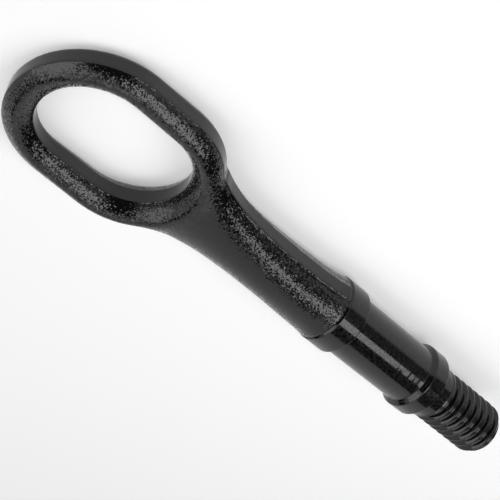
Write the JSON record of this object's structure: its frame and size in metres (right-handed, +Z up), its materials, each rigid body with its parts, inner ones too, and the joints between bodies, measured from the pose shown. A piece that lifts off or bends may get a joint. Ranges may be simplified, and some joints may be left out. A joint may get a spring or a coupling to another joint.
{
  "type": "tow eye",
  "caption": "Forged steel screw-in towing eye: oval ring, round shank with collars and a coarse left-hand thread.",
  "frame": {"origin": "centre of the seat, the front collar's flat face on the thread side, on the turned shank's axis", "axes": "+X along the shank towards the thread's tip, the ring lies flat in XY at -X, +Z is up as it lies"},
  "size_m": [0.1757, 0.0444, 0.02],
  "materials": {
    "coated_steel": "thin glossy black coat on forged and turned steel"
  },
  "bodies": {
    "root": {"tow_eye": "coated_steel"}
  },
  "joints": []
}
